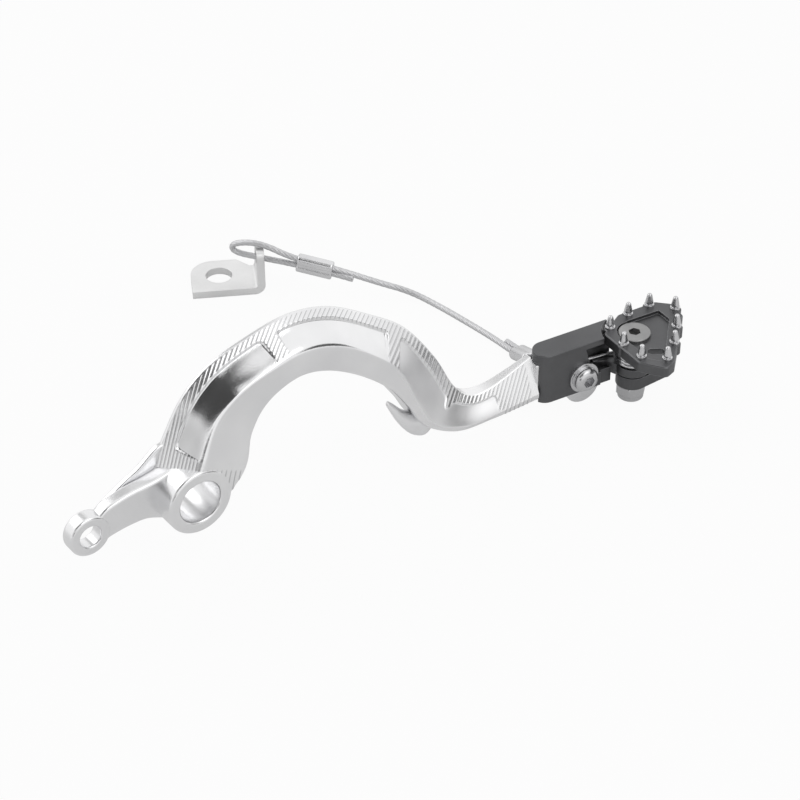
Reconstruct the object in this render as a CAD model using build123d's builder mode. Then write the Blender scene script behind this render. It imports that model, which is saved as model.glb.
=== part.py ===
from build123d import *
from math import atan2, cos, degrees, hypot, radians, sin, tan
import os

# Rear brake pedal: a forged arm with a sprung folding tip and a safety cable.
# Millimetres. X points forward to the tip, Y inboard, Z up.
# The origin is the middle of the pivot bore, whose axis is Y.

# Pivot boss and the lug that pushes the master cylinder
pivot_bore = 15.8
boss_diameter = 24.6
boss_length = 22.0
boss_edge = 1.0
lug_reach = 37.6
lug_drop = 1.4
lug_bore = 8.1
lug_eye_diameter = 15.2
lug_thickness = 6.0
lug_web_top = 8.6
lug_web_bottom = 4.4
gusset_thickness = 2.4
gusset_height = 18.0

# Arm section: near side is outboard (-Y), far side is inboard (+Y)
arm_near = 8.0
arm_far = 5.0
inner_roll = 1.5
panel_depth = 0.8
panel_margin = 2.4
panel_crease = 1.0

# Arm stations from the boss to the neck:
# outer edge x and z, inner edge x and z, then the bevel's depth inward and its drop outboard
arm_stations = [
    (-11.6, 0.0, 11.6, -8.0, 7.0, 10.2),
    (-9.6, 9.0, 17.4, -2.4, 8.0, 11.7),
    (-4.0, 20.0, 20.4, 6.6, 8.0, 11.7),
    (3.6, 32.2, 23.6, 15.4, 8.0, 11.7),
    (14.0, 40.7, 28.4, 23.4, 8.0, 11.7),
    (28.6, 45.6, 35.6, 28.2, 7.5, 11.5),
    (46.0, 48.2, 45.0, 30.1, 7.2, 11.5),
    (63.0, 44.4, 55.4, 27.2, 8.5, 11.7),
    (80.0, 34.0, 67.5, 19.9, 10.0, 11.7),
    (94.6, 22.6, 79.5, 9.4, 13.0, 11.2),
    (105.6, 7.0, 87.7, -2.0, 16.2, 9.6),
    (112.0, -6.6, 94.8, -13.4, 15.4, 7.4),
    (117.6, -11.9, 108.6, -21.7, 10.4, 5.2),
    (126.4, -11.5, 124.2, -22.6, 8.6, 3.6),
    (143.2, -5.0, 143.2, -21.6, 13.4, 1.8),
]
# Polished panels sunk into the bevel, from one place among the stations to another
panel_spans = [(1.9, 5.2), (5.6, 8.35), (8.8, 10.75), (11.3, 13.1)]
bend_x = 84.0
neck_thickness = 8.0

# Return-spring hook under the front of the arch
hook_thickness = 5.0
hook_inset = 0.6
hook_tip_round = 1.1

# Carrier block at the front of the arm, turned outboard
carrier_yaw = 7.0
carrier_width = 10.0
carrier_height = 21.0
carrier_top = -2.3
shoulder_gap = 0.3
tongue_thickness = 4.8
slot_clearance = 0.2
roof_thickness = 4.2
tongue_reach = 22.4
heel_radius = 7.0
heel_from_nose = 20.35
screw_from_nose = 18.3
screw_from_top = 14.0
carrier_edge = 0.5
window_roof = 2.4
window_radius = 16.1
window_sill = 1.5
sill_recess = 1.0
window_flare = 17.0
strip_from_nose = 26.2
screw_boss_height = 3.0

# Carrier screw
screw_diameter = 6.0
screw_clearance = 0.15
screw_head_diameter = 9.6
screw_head_height = 3.3
screw_flange_diameter = 12.0
screw_flange_thickness = 1.1
hex_socket = 4.0

# Cable lug on the inboard side of the carrier
cable_diameter = 2.4
lug_from_nose = 10.5
cable_lug_reach = 3.6
cable_lug_thickness = 2.6
cable_lug_from_top = 14.7
cable_lug_wall = 1.6
cable_hole_clearance = 2.0

# Tip pivot, measured from the carrier's nose
tip_forward = 38.9
tip_outboard = 6.5
pivot_bolt_diameter = 6.0
sleeve_diameter = 9.0
sleeve_running_fit = 0.04
bolt_clearance = 0.05
ear_ring_diameter = 12.8
ear_thickness = 3.4
ear_gap = 0.9
fold_clearance = 0.5
roof_swing_shift = 0.6
leg_swing_gap = 2.2
plate_swing_radius = 11.1
stop_angle = 108.0
stop_gap = 0.1
stop_reach = 12.0

# Fold spring
spring_wire = 1.2
spring_turns = 5.25
spring_pitch = 1.32
spring_outer_diameter = 14.2
spring_gap = 0.45
spring_leg = 16.0
spring_short_leg = 5.2

# Folding tip
plate_top_below_carrier = 0.2
plate_thickness = 4.2
plate_edge = 0.35
pocket_depth = 1.4
pocket_corner_round = 1.0
leg_thickness = 4.9
leg_half_width = 5.9
leg_reach = 11.6
spring_pocket_radius = 9.3
plate_corner_round = 2.0
bolt_head_diameter = 12.0
bolt_head_height = 1.3
bolt_head_room = 0.4
bolt_beyond_nut = 0.4
bolt_socket_depth = 2.9

# Lock nut
nut_across_flats = 10.0
nut_hex_height = 4.4
nut_turn = 41.0
nut_corner_bevel = 0.6
nut_collar_diameter = 9.6
nut_collar_height = 2.0
insert_thickness = 1.2

# Grip teeth
tooth_flange_diameter = 3.7
tooth_flange_height = 0.9
tooth_body_diameter = 3.0
tooth_point_diameter = 2.0
tooth_height = 5.5
tooth_groove = 0.3
tooth_shank_diameter = 2.0
tooth_shank_length = 3.0

# Safety cable ferrule and frame bracket
ferrule_length = 14.2
ferrule_wall = 1.4
ferrule_grip = 0.05
strand_spacing = 2.5
bracket_length = 25.5
bracket_depth = 21.0
bracket_thickness = 3.0
bracket_hole = 10.5
bracket_hole_in = 11.0
bracket_hole_back = 10.7
bracket_corner = 9.0
bracket_tab_height = 18.0
bracket_tab_foot = 16.0
bracket_tab_top = 9.0
bracket_bend = 1.2
bracket_eye = 5.6
bracket_eye_below_top = 4.6
bracket_eye_back = 6.0
floor_z = -32.0

os.makedirs("parts", exist_ok=True)
finished = []


def keep(part, label):
    part.label = label
    export_step(part, f"parts/{label}.step")
    finished.append(label)


# Places that several pieces share
yaw = radians(carrier_yaw)
along = Vector(cos(yaw), -sin(yaw), 0)
inboard = Vector(sin(yaw), cos(yaw), 0)
neck_x = arm_stations[-1][0]
neck_y = -(arm_near - arm_far) / 2 - (neck_x - bend_x) * tan(yaw)
nose = Vector(neck_x + shoulder_gap, neck_y, 0)
tip_axis = nose + along * tip_forward - inboard * tip_outboard
half_width = carrier_width / 2
carrier_bottom = carrier_top - carrier_height
slot_width = tongue_thickness + 2 * slot_clearance
half_slot = slot_width / 2
wall_thickness = half_width - half_slot
slot_roof = carrier_top - roof_thickness
screw_z = carrier_top - screw_from_top
plate_top = carrier_top - plate_top_below_carrier
plate_floor = plate_top - pocket_depth
plate_bottom = plate_top - plate_thickness
coil_height = spring_turns * spring_pitch + spring_wire
ear_top = plate_bottom - coil_height - 2 * spring_gap
ear_bottom = ear_top - ear_thickness
leg_top = ear_bottom - ear_gap
leg_bottom = leg_top - leg_thickness
nut_bottom = leg_bottom - nut_hex_height - nut_collar_height
roof_swing_radius = plate_swing_radius + fold_clearance
cable_hole = cable_diameter + cable_hole_clearance
cable_lug_z = carrier_top - cable_lug_from_top
cable_lug_radius = cable_hole / 2 + cable_lug_wall


def carrier_plan(z):
    # Seen from above: local x runs forward from the nose, local y inboard
    return Plane(origin=(nose.X, nose.Y, z), x_dir=along, z_dir=(0, 0, 1))


def carrier_side(offset):
    # Seen from outboard: local x runs forward from the nose, local y is height
    at = nose + inboard * offset
    return Plane(origin=at, x_dir=along, z_dir=inboard * -1)


def tip_plan(z):
    # Seen from above, centred on the tip's pivot axis
    return Plane(origin=(tip_axis.X, tip_axis.Y, z))


def near_face(x):
    blend = max(0.0, (x - bend_x) / (neck_x - bend_x))
    return -arm_near + blend * (neck_y - neck_thickness / 2 + arm_near)


def far_face(x):
    blend = max(0.0, (x - bend_x) / (neck_x - bend_x))
    return arm_far + blend * (neck_y + neck_thickness / 2 - arm_far)


def arm_section(station, sunk):
    # Six-sided section: back, outer land, bevel, near face and rolled inner edge
    outer_x, outer_z, inner_x, inner_z, bevel, drop = station
    rise_x = outer_x - inner_x
    rise_z = outer_z - inner_z
    width = hypot(rise_x, rise_z)
    middle = (outer_x + inner_x) / 2
    near = near_face(middle)
    far = far_face(middle)
    land = near + drop
    slant = hypot(bevel, drop)
    inward = sunk * drop / slant
    deeper = sunk * bevel / slant
    plane = Plane(
        origin=(inner_x, 0, inner_z), x_dir=(rise_x, 0, rise_z), z_dir=(-rise_z, 0, rise_x)
    )
    corners = [
        (0, far),
        (width - inward, far),
        (width - inward, land + deeper),
        (width - bevel - inward, near + deeper),
        (inner_roll, near + deeper),
        (0, near + deeper + inner_roll),
    ]
    return plane, corners


def bevel_point(place, share):
    # Point on the bevel: place counts along the stations, share goes from outer edge to crease
    low = min(int(place), len(arm_stations) - 2)
    blend = place - low
    mixed = [a + (b - a) * blend for a, b in zip(arm_stations[low], arm_stations[low + 1])]
    outer_x, outer_z, inner_x, inner_z, bevel, drop = mixed
    width = hypot(outer_x - inner_x, outer_z - inner_z)
    inward = panel_margin + share * (bevel - panel_margin - panel_crease)
    return (
        outer_x + (inner_x - outer_x) * inward / width,
        outer_z + (inner_z - outer_z) * inward / width,
    )


# Arm: lofted blank, boss, lug, hook and tongue, then the sunk panels and the bores
with BuildPart() as panel_cutter:
    for start, end in panel_spans:
        places = [start + (end - start) * step / 4 for step in range(5)]
        with BuildSketch(Plane.XZ):
            with BuildLine():
                Spline(*[bevel_point(place, 0) for place in places])
                Line(bevel_point(end, 0), bevel_point(end, 1))
                Spline(*[bevel_point(place, 1) for place in reversed(places)])
                Line(bevel_point(start, 1), bevel_point(start, 0))
            make_face()
        extrude(amount=arm_near + boss_length)

with BuildPart() as arm_core:
    for station in arm_stations:
        core_plane, core_corners = arm_section(station, panel_depth)
        with BuildSketch(core_plane):
            with BuildLine():
                Polyline(*core_corners, close=True)
            make_face()
    loft()

eye_at = (-lug_reach, -lug_drop)
with BuildPart() as pedal_arm:
    for station in arm_stations:
        section_plane, section_corners = arm_section(station, 0)
        with BuildSketch(section_plane):
            with BuildLine():
                Polyline(*section_corners, close=True)
            make_face()
    loft()
    add(panel_cutter.part - arm_core.part, mode=Mode.SUBTRACT)
    with BuildSketch(Plane.XZ):
        Circle(boss_diameter / 2)
    extrude(amount=boss_length / 2, both=True)
    with BuildSketch(Plane.XZ) as lug:
        with BuildLine():
            Polyline(
                (-lug_reach, -lug_drop - lug_web_bottom),
                (-lug_reach, lug_web_top - lug_drop - 2.4),
                (-lug_reach + 6, lug_web_top - 1),
                (-boss_diameter / 2, lug_web_top + 1),
                (0, boss_diameter / 2 - 2),
                (0, -boss_diameter / 2 + 2),
                (-boss_diameter / 2 - 4, -lug_web_bottom),
                close=True,
            )
        make_face()
        with Locations(eye_at):
            Circle(lug_eye_diameter / 2)
    extrude(amount=lug_thickness / 2, both=True)
    with BuildSketch(Plane.XZ.offset(-lug_thickness / 2)):
        with BuildLine():
            Polyline(
                (-lug_reach + lug_eye_diameter / 2 + 1, lug_web_top - 4.5),
                (-boss_diameter / 2 - 2.5, gusset_height - 6),
                (-6.5, gusset_height),
                (0, gusset_height),
                (0, 2),
                (-boss_diameter / 2, 2),
                close=True,
            )
        make_face()
    extrude(amount=gusset_thickness)
    with BuildSketch(Plane.XZ.offset(arm_near - hook_inset)) as hook:
        with BuildLine():
            Polyline(
                (99.0, -8.0),
                (88.6, -5.4),
                (81.6, 2.8),
                (79.4, 1.6),
                (85.6, -10.0),
                (89.8, -15.8),
                (96.0, -18.6),
                (104.0, -16.5),
                close=True,
            )
        make_face()
        fillet(hook.vertices().sort_by(Axis.X)[:2], radius=hook_tip_round)
    extrude(amount=-hook_thickness)
    with BuildSketch(carrier_side(0)):
        with BuildLine():
            Polyline(
                (-6, slot_roof - slot_clearance),
                (screw_from_nose - screw_diameter / 4, slot_roof - slot_clearance),
                (tongue_reach, screw_z + screw_diameter / 2),
                (tongue_reach, carrier_bottom + 3),
                (tongue_reach - heel_radius, carrier_bottom),
                (-6, carrier_bottom + 2.5),
                close=True,
            )
        make_face()
        with Locations((heel_from_nose, carrier_bottom)):
            Circle(heel_radius)
    extrude(amount=tongue_thickness / 2, both=True)
    with BuildSketch(Plane.XZ):
        Circle(pivot_bore / 2)
        with Locations(eye_at):
            Circle(lug_bore / 2)
    extrude(amount=boss_length, both=True, mode=Mode.SUBTRACT)
    with BuildSketch(carrier_side(0)):
        with Locations((screw_from_nose, screw_z)):
            Circle(screw_diameter / 2 + screw_clearance)
    extrude(amount=half_width, both=True, mode=Mode.SUBTRACT)
    bore_edges = pedal_arm.edges().filter_by(GeomType.CIRCLE).filter_by(
        lambda edge: abs(edge.radius - pivot_bore / 2) < 0.001
    )
    chamfer(bore_edges, length=boss_edge / 2)
print("arm", pedal_arm.part.volume)
keep(pedal_arm.part, "pedal_arm")

# Carrier: slotted block, open forward window, ear ring, screw boss and cable lug
with BuildPart() as window:
    with BuildSketch(tip_plan(ear_top - window_sill)):
        Circle(window_radius)
    extrude(amount=carrier_top - window_roof - ear_top + window_sill, taper=-window_flare)
    with BuildSketch(carrier_plan(ear_top - window_sill)):
        with Locations((tip_forward, half_slot + tip_forward)):
            Rectangle(4 * tip_forward, 2 * tip_forward)
    extrude(amount=carrier_height, mode=Mode.SUBTRACT)
    with BuildSketch(carrier_plan(carrier_bottom)):
        with Locations((strip_from_nose + tip_forward / 2, -half_width)):
            Rectangle(tip_forward, 2 * sill_recess)
    extrude(amount=ear_top - carrier_bottom)

with BuildPart() as tip_carrier:
    with BuildSketch(carrier_plan(carrier_bottom)):
        with Locations((half_width, 0)):
            Circle(half_width)
        with Locations((half_width + tip_forward / 2, 0)):
            Rectangle(tip_forward, carrier_width)
    extrude(amount=carrier_height)
    fillet(tip_carrier.faces().sort_by(Axis.Z)[-1].edges(), radius=carrier_edge)
    fillet(tip_carrier.faces().sort_by(Axis.Z)[0].edges(), radius=carrier_edge)
    with BuildSketch(carrier_plan(carrier_bottom)):
        with Locations((tip_forward / 2, 0)):
            Rectangle(2 * tip_forward, slot_width)
    extrude(amount=slot_roof - carrier_bottom, mode=Mode.SUBTRACT)
    add(window.part, mode=Mode.SUBTRACT)
    with BuildSketch(tip_plan(carrier_bottom)):
        Circle(leg_half_width + leg_swing_gap)
    extrude(amount=ear_top - carrier_bottom, mode=Mode.SUBTRACT)
    with BuildSketch(carrier_plan(plate_bottom - spring_gap)):
        with Locations((tip_forward - roof_swing_shift, -tip_outboard)):
            Circle(roof_swing_radius)
    extrude(amount=carrier_top - plate_bottom + 1, mode=Mode.SUBTRACT)
    with BuildSketch(tip_plan(carrier_bottom)):
        with BuildLine():
            Polyline(
                (0, 0),
                (3 * stop_reach * cos(radians(stop_angle)), 3 * stop_reach * sin(radians(stop_angle))),
                (3 * stop_reach, 3 * stop_reach),
                (3 * stop_reach, 0),
                close=True,
            )
        make_face()
    extrude(amount=carrier_height, mode=Mode.SUBTRACT)
    strip_x = strip_from_nose
    ring_y = -tip_outboard
    with BuildSketch(carrier_plan(ear_bottom)):
        with BuildLine():
            Polyline(
                (strip_x, half_slot + wall_thickness / 2),
                (strip_x, 0.3),
                (strip_x + 3.6, -1.4),
                (strip_x + 5.4, ring_y + 2.4),
                (tip_forward - ear_ring_diameter / 2 + 0.6, ring_y),
                (tip_forward, ring_y),
                (tip_forward - 1.3, ring_y + ear_ring_diameter / 2 - 0.2),
                (tip_forward - 5, half_slot),
                (tip_forward - 5.4, half_slot + wall_thickness / 2),
                close=True,
            )
        make_face()
        with Locations((tip_forward, ring_y)):
            Circle(ear_ring_diameter / 2)
    extrude(amount=ear_thickness)
    with BuildSketch(carrier_side(half_width)):
        with Locations((screw_from_nose, screw_z)):
            Circle(screw_flange_diameter / 2 - 0.8)
    extrude(amount=-screw_boss_height)
    lug_at = nose + along * lug_from_nose
    with BuildSketch(Plane(origin=lug_at, x_dir=inboard, z_dir=along)):
        with Locations((half_width + cable_lug_reach, cable_lug_z)):
            Circle(cable_lug_radius)
        with Locations((half_width + cable_lug_reach / 2 - 0.5, cable_lug_z)):
            Rectangle(cable_lug_reach + 1, 2 * cable_lug_radius)
        with Locations((half_width + cable_lug_reach, cable_lug_z)):
            Circle(cable_hole / 2, mode=Mode.SUBTRACT)
    extrude(amount=cable_lug_thickness / 2, both=True)
    with BuildSketch(tip_plan(ear_bottom)):
        Circle(sleeve_diameter / 2 + sleeve_running_fit)
    extrude(amount=ear_thickness, mode=Mode.SUBTRACT)
    with BuildSketch(carrier_side(0)):
        with Locations((screw_from_nose, screw_z)):
            Circle(screw_diameter / 2 + screw_clearance)
    extrude(amount=carrier_width + screw_boss_height, both=True, mode=Mode.SUBTRACT)
keep(tip_carrier.part, "tip_carrier")

# Carrier screw: button head with a flange and a hex socket, seen from outboard
head_face = half_width + screw_flange_thickness + screw_head_height
with BuildPart() as carrier_screw:
    with BuildSketch(carrier_side(-half_width)):
        with Locations((screw_from_nose, screw_z)):
            Circle(screw_flange_diameter / 2)
    extrude(amount=screw_flange_thickness)
    with BuildSketch(carrier_side(-half_width - screw_flange_thickness)):
        with Locations((screw_from_nose, screw_z)):
            Circle(screw_head_diameter / 2)
    extrude(amount=screw_head_height)
    top_edge = carrier_screw.edges().filter_by(GeomType.CIRCLE).sort_by(Axis.Y)[0]
    fillet(top_edge, radius=screw_head_height * 0.7)
    with BuildSketch(carrier_side(-half_width)):
        with Locations((screw_from_nose, screw_z)):
            Circle(screw_diameter / 2)
    extrude(amount=-(carrier_width + screw_boss_height))
    with BuildSketch(carrier_side(-head_face)):
        with Locations((screw_from_nose, screw_z)):
            RegularPolygon(hex_socket / 2, 6, major_radius=False)
    extrude(amount=-screw_head_height, mode=Mode.SUBTRACT)
keep(carrier_screw.part, "carrier_screw")

# Tip: lobed top plate with a sunk middle, rear web, lower leg and stop heel
tooth_places = [
    (-5.8, 6.9),
    (4.9, 9.4),
    (14.9, 9.1),
    (21.3, 2.0),
    (14.2, -6.8),
    (6.9, -13.9),
    (-1.8, -19.9),
    (-8.3, -13.4),
    (-8.4, -3.7),
]
plate_corners = [
    (-9.9, 5.6),
    (-11.2, -15.4),
    (-5.6, -24.3),
    (-0.9, -23.0),
    (20.9, -2.9),
    (22.9, 4.8),
    (18.2, 9.9),
    (2.0, 11.6),
]
pocket_corners = [
    (-5.4, 2.2),
    (-7.0, -15.6),
    (-4.0, -19.8),
    (-1.4, -18.2),
    (15.4, -1.6),
    (15.8, 4.8),
    (2.2, 6.6),
]
tooth_lobe = tooth_flange_diameter / 2 + 0.5
heel_start = radians(stop_angle) - stop_gap / stop_reach
with BuildPart() as foot_tip:
    with BuildSketch(tip_plan(plate_bottom)) as plate:
        with BuildLine():
            Polyline(*plate_corners, close=True)
        make_face()
        fillet(plate.vertices(), radius=plate_corner_round)
        with Locations(*tooth_places):
            Circle(tooth_lobe)
    extrude(amount=plate_thickness)
    chamfer(foot_tip.faces().sort_by(Axis.Z)[-1].edges(), length=plate_edge)
    with BuildSketch(tip_plan(plate_floor)) as pocket:
        with BuildLine():
            Polyline(*pocket_corners, close=True)
        make_face()
        fillet(pocket.vertices(), radius=pocket_corner_round)
        Circle(bolt_head_diameter / 2 + bolt_head_room)
    extrude(amount=pocket_depth, mode=Mode.SUBTRACT)
    with BuildSketch(tip_plan(leg_bottom)):
        Circle(leg_half_width)
        with Locations((leg_reach / 2, 0)):
            Rectangle(leg_reach, 2 * leg_half_width)
        with BuildLine():
            Polyline(
                (0, 0),
                (stop_reach * cos(heel_start), stop_reach * sin(heel_start)),
                (stop_reach * 0.3, stop_reach * sin(heel_start)),
                (stop_reach * 0.6, 0),
                close=True,
            )
        make_face()
    extrude(amount=leg_thickness)
    with BuildSketch(tip_plan(leg_top)):
        with Locations((leg_reach / 2, 0)):
            Rectangle(leg_reach, 2 * leg_half_width)
        Circle(spring_pocket_radius, mode=Mode.SUBTRACT)
    extrude(amount=plate_bottom - leg_top)
    with BuildSketch(tip_plan(leg_bottom)):
        Circle(pivot_bolt_diameter / 2 + bolt_clearance)
    extrude(amount=plate_top - leg_bottom, mode=Mode.SUBTRACT)
    with BuildSketch(tip_plan(plate_bottom)):
        with Locations(Location((-0.6, -12.6), -35)):
            SlotOverall(6.2, 3.4)
    extrude(amount=plate_thickness, mode=Mode.SUBTRACT)
    with BuildSketch(tip_plan(plate_top - tooth_shank_length)):
        with Locations(*tooth_places):
            Circle(tooth_shank_diameter / 2)
    extrude(amount=tooth_shank_length, mode=Mode.SUBTRACT)
keep(foot_tip.part, "foot_tip")

# Grip teeth: flange, grooved body and rounded top, turned about Z
tooth_radius = tooth_body_diameter / 2
body_start = tooth_flange_height
groove_step = (tooth_height - tooth_flange_height) / 8
point_radius = tooth_point_diameter / 2
with BuildPart() as tooth:
    with BuildSketch(Plane.XZ):
        with BuildLine():
            Polyline(
                (0, -tooth_shank_length),
                (tooth_shank_diameter / 2, -tooth_shank_length),
                (tooth_shank_diameter / 2, 0),
                (tooth_flange_diameter / 2, 0),
                (tooth_flange_diameter / 2, body_start),
                (tooth_radius - tooth_groove, body_start),
                (tooth_radius - tooth_groove, body_start + groove_step / 2),
                (tooth_radius, body_start + groove_step),
                (tooth_radius, body_start + 2 * groove_step),
                (point_radius, tooth_height - point_radius),
            )
            ThreePointArc(
                (point_radius, tooth_height - point_radius),
                (
                    point_radius * cos(radians(45)),
                    tooth_height - point_radius + point_radius * sin(radians(45)),
                ),
                (0, tooth_height),
            )
            Line((0, tooth_height), (0, -tooth_shank_length))
        make_face()
    revolve(axis=Axis.Z)
for number, (tooth_x, tooth_y) in enumerate(tooth_places, 1):
    placed = tooth.part.moved(Location((tip_axis.X + tooth_x, tip_axis.Y + tooth_y, plate_top)))
    keep(placed, f"tip_tooth_{number}")

# Pivot bolt, sleeve, nut and nut insert on the tip's axis
bolt_end = nut_bottom - bolt_beyond_nut
with BuildPart() as pivot_bolt:
    with BuildSketch(tip_plan(plate_floor)):
        Circle(bolt_head_diameter / 2)
    extrude(amount=bolt_head_height)
    rim = pivot_bolt.edges().filter_by(GeomType.CIRCLE).sort_by(Axis.Z)[-1]
    fillet(rim, radius=bolt_head_height * 0.4)
    with BuildSketch(tip_plan(bolt_end)):
        Circle(pivot_bolt_diameter / 2)
    extrude(amount=plate_floor - bolt_end)
    foot = pivot_bolt.edges().filter_by(GeomType.CIRCLE).sort_by(Axis.Z)[0]
    chamfer(foot, length=0.5)
    with BuildSketch(tip_plan(plate_floor + bolt_head_height)):
        RegularPolygon(hex_socket / 2, 6, major_radius=False)
    extrude(amount=-bolt_socket_depth, mode=Mode.SUBTRACT)
keep(pivot_bolt.part, "pivot_bolt")

with BuildPart() as pivot_sleeve:
    with BuildSketch(tip_plan(leg_top)):
        Circle(sleeve_diameter / 2)
        Circle(pivot_bolt_diameter / 2 + bolt_clearance, mode=Mode.SUBTRACT)
    extrude(amount=plate_bottom - leg_top)
keep(pivot_sleeve.part, "pivot_sleeve")

insert_radius = nut_collar_diameter / 2 - 0.6
nut_corner_radius = nut_across_flats / 2 / cos(radians(30))
with BuildPart() as nut_blank:
    with BuildSketch(tip_plan(leg_bottom)):
        Circle(nut_corner_radius)
    extrude(amount=-nut_hex_height)
    chamfer(nut_blank.edges().filter_by(GeomType.CIRCLE), length=nut_corner_bevel)
with BuildPart() as pivot_nut:
    with BuildSketch(tip_plan(leg_bottom)):
        RegularPolygon(nut_across_flats / 2, 6, major_radius=False, rotation=nut_turn)
    extrude(amount=-nut_hex_height)
    add(nut_blank.part, mode=Mode.INTERSECT)
    with BuildSketch(tip_plan(leg_bottom - nut_hex_height)):
        Circle(nut_collar_diameter / 2)
    extrude(amount=-nut_collar_height)
    collar_rim = pivot_nut.edges().filter_by(GeomType.CIRCLE).sort_by(Axis.Z)[0]
    fillet(collar_rim, radius=0.4)
    with BuildSketch(tip_plan(nut_bottom)):
        Circle(pivot_bolt_diameter / 2 + bolt_clearance)
    extrude(amount=nut_hex_height + nut_collar_height, mode=Mode.SUBTRACT)
    with BuildSketch(tip_plan(nut_bottom)):
        Circle(insert_radius)
    extrude(amount=insert_thickness, mode=Mode.SUBTRACT)
keep(pivot_nut.part, "pivot_nut")

with BuildPart() as nut_insert:
    with BuildSketch(tip_plan(nut_bottom)):
        Circle(insert_radius)
        Circle(pivot_bolt_diameter / 2 + bolt_clearance, mode=Mode.SUBTRACT)
    extrude(amount=insert_thickness)
keep(nut_insert.part, "nut_insert")

# Fold spring: a close coil round the sleeve with one leg on the carrier and one on the tip
coil_radius = (spring_outer_diameter - spring_wire) / 2
coil_foot = ear_top + spring_gap + spring_wire / 2
leg_turn = 75.8
with BuildPart() as fold_spring:
    with BuildLine() as coil:
        Helix(
            pitch=spring_pitch, height=spring_turns * spring_pitch, radius=coil_radius, lefthand=True
        )
    coil_wire = coil.wires()[0]
    with BuildSketch(Plane(origin=coil_wire @ 0, z_dir=coil_wire % 0)):
        Circle(spring_wire / 2)
    sweep()
    with BuildSketch(Plane(origin=coil_wire @ 0, z_dir=(coil_wire % 0) * -1)):
        Circle(spring_wire / 2)
    extrude(amount=spring_leg)
    with BuildSketch(Plane(origin=coil_wire @ 1, z_dir=coil_wire % 1)):
        Circle(spring_wire / 2)
    extrude(amount=spring_short_leg)
spring_length = coil_wire.length + spring_leg + spring_short_leg
print("spring", fold_spring.part.volume, 3.1416 * spring_wire**2 / 4 * spring_length)
spring_place = Location((tip_axis.X, tip_axis.Y, coil_foot), (0, 0, leg_turn))
keep(fold_spring.part.moved(spring_place), "fold_spring")

# Frame bracket: flat foot with a bolt hole, bent up into a tab with the cable's eye
bracket_turn = radians(29.0)
bracket_at = Vector(85.5, 129.3, floor_z)
across = Vector(cos(bracket_turn), -sin(bracket_turn), 0)
behind = Vector(sin(bracket_turn), cos(bracket_turn), 0)
bracket_end = bracket_length + bracket_thickness
eye_up = bracket_tab_height - bracket_eye_below_top
with BuildPart() as cable_bracket:
    with BuildSketch(Plane(origin=bracket_at, x_dir=across, z_dir=(0, 0, 1))) as foot_plan:
        with BuildLine():
            Polyline(
                (0, 0),
                (bracket_end, 0),
                (bracket_end, bracket_tab_foot),
                (bracket_length - 2, bracket_tab_foot),
                (bracket_length - 7, bracket_depth),
                (0, bracket_depth),
                close=True,
            )
        make_face()
        left_corners = foot_plan.vertices().sort_by(Axis.X)[:2]
        fillet(left_corners.sort_by(Axis.Y)[1], radius=bracket_corner)
        with Locations((bracket_hole_in, bracket_hole_back)):
            Circle(bracket_hole / 2, mode=Mode.SUBTRACT)
    extrude(amount=bracket_thickness)
    tab_at = bracket_at + across * bracket_length
    with BuildSketch(Plane(origin=tab_at, x_dir=behind, z_dir=across)) as tab:
        with BuildLine():
            Polyline(
                (0, 0),
                (bracket_tab_foot, 0),
                (bracket_tab_foot, bracket_thickness + bracket_bend),
                (bracket_eye_back + bracket_tab_top / 2, bracket_tab_height),
                (bracket_eye_back - bracket_tab_top / 2, bracket_tab_height),
                (0, bracket_thickness + bracket_bend),
                close=True,
            )
        make_face()
        fillet(tab.vertices().sort_by(Axis.Y)[-2:], radius=bracket_tab_top * 0.35)
        with Locations((bracket_eye_back, eye_up)):
            Circle(bracket_eye / 2, mode=Mode.SUBTRACT)
    extrude(amount=bracket_thickness)
    bend_edges = cable_bracket.edges().filter_by(Axis((0, 0, 0), behind))
    outer_bend = bend_edges.filter_by(
        lambda edge: abs((edge.center() - bracket_at).dot(across) - bracket_end) < 0.01
        and abs(edge.center().Z - floor_z) < 0.01
    )
    fillet(outer_bend, radius=bracket_bend + bracket_thickness)
    bend_edges = cable_bracket.edges().filter_by(Axis((0, 0, 0), behind))
    inner_bend = bend_edges.filter_by(
        lambda edge: abs((edge.center() - bracket_at).dot(across) - bracket_length) < 0.01
        and abs(edge.center().Z - floor_z - bracket_thickness) < 0.01
    )
    fillet(inner_bend, radius=bracket_bend)
keep(cable_bracket.part, "cable_bracket")

# Crimped ferrules: oval sleeves that grip the two strands of each eye
ferrules = {
    "cable_ferrule_bracket": (Vector(121.4, 109.2, -18.2), Vector(0.669, -0.723, -0.162)),
    "cable_ferrule_pedal": (Vector(158.54, 10.34, -22.67), Vector(0.2625, 0.871, -0.417)),
}
ferrule_wide = {
    "cable_ferrule_bracket": Vector(0.110, -0.119, 0.987),
    "cable_ferrule_pedal": Vector(0.9636, -0.2594, 0.0651),
}
for ferrule_name, (ferrule_at, ferrule_way) in ferrules.items():
    ferrule_plane = Plane(origin=ferrule_at, x_dir=ferrule_wide[ferrule_name], z_dir=ferrule_way)
    with BuildPart() as ferrule:
        with BuildSketch(ferrule_plane):
            SlotOverall(
                strand_spacing + cable_diameter + 2 * ferrule_wall,
                cable_diameter + 2 * ferrule_wall,
            )
            SlotOverall(
                strand_spacing + cable_diameter - 2 * ferrule_grip,
                cable_diameter - 2 * ferrule_grip,
                mode=Mode.SUBTRACT,
            )
        extrude(amount=ferrule_length)
    keep(ferrule.part, ferrule_name)

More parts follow.
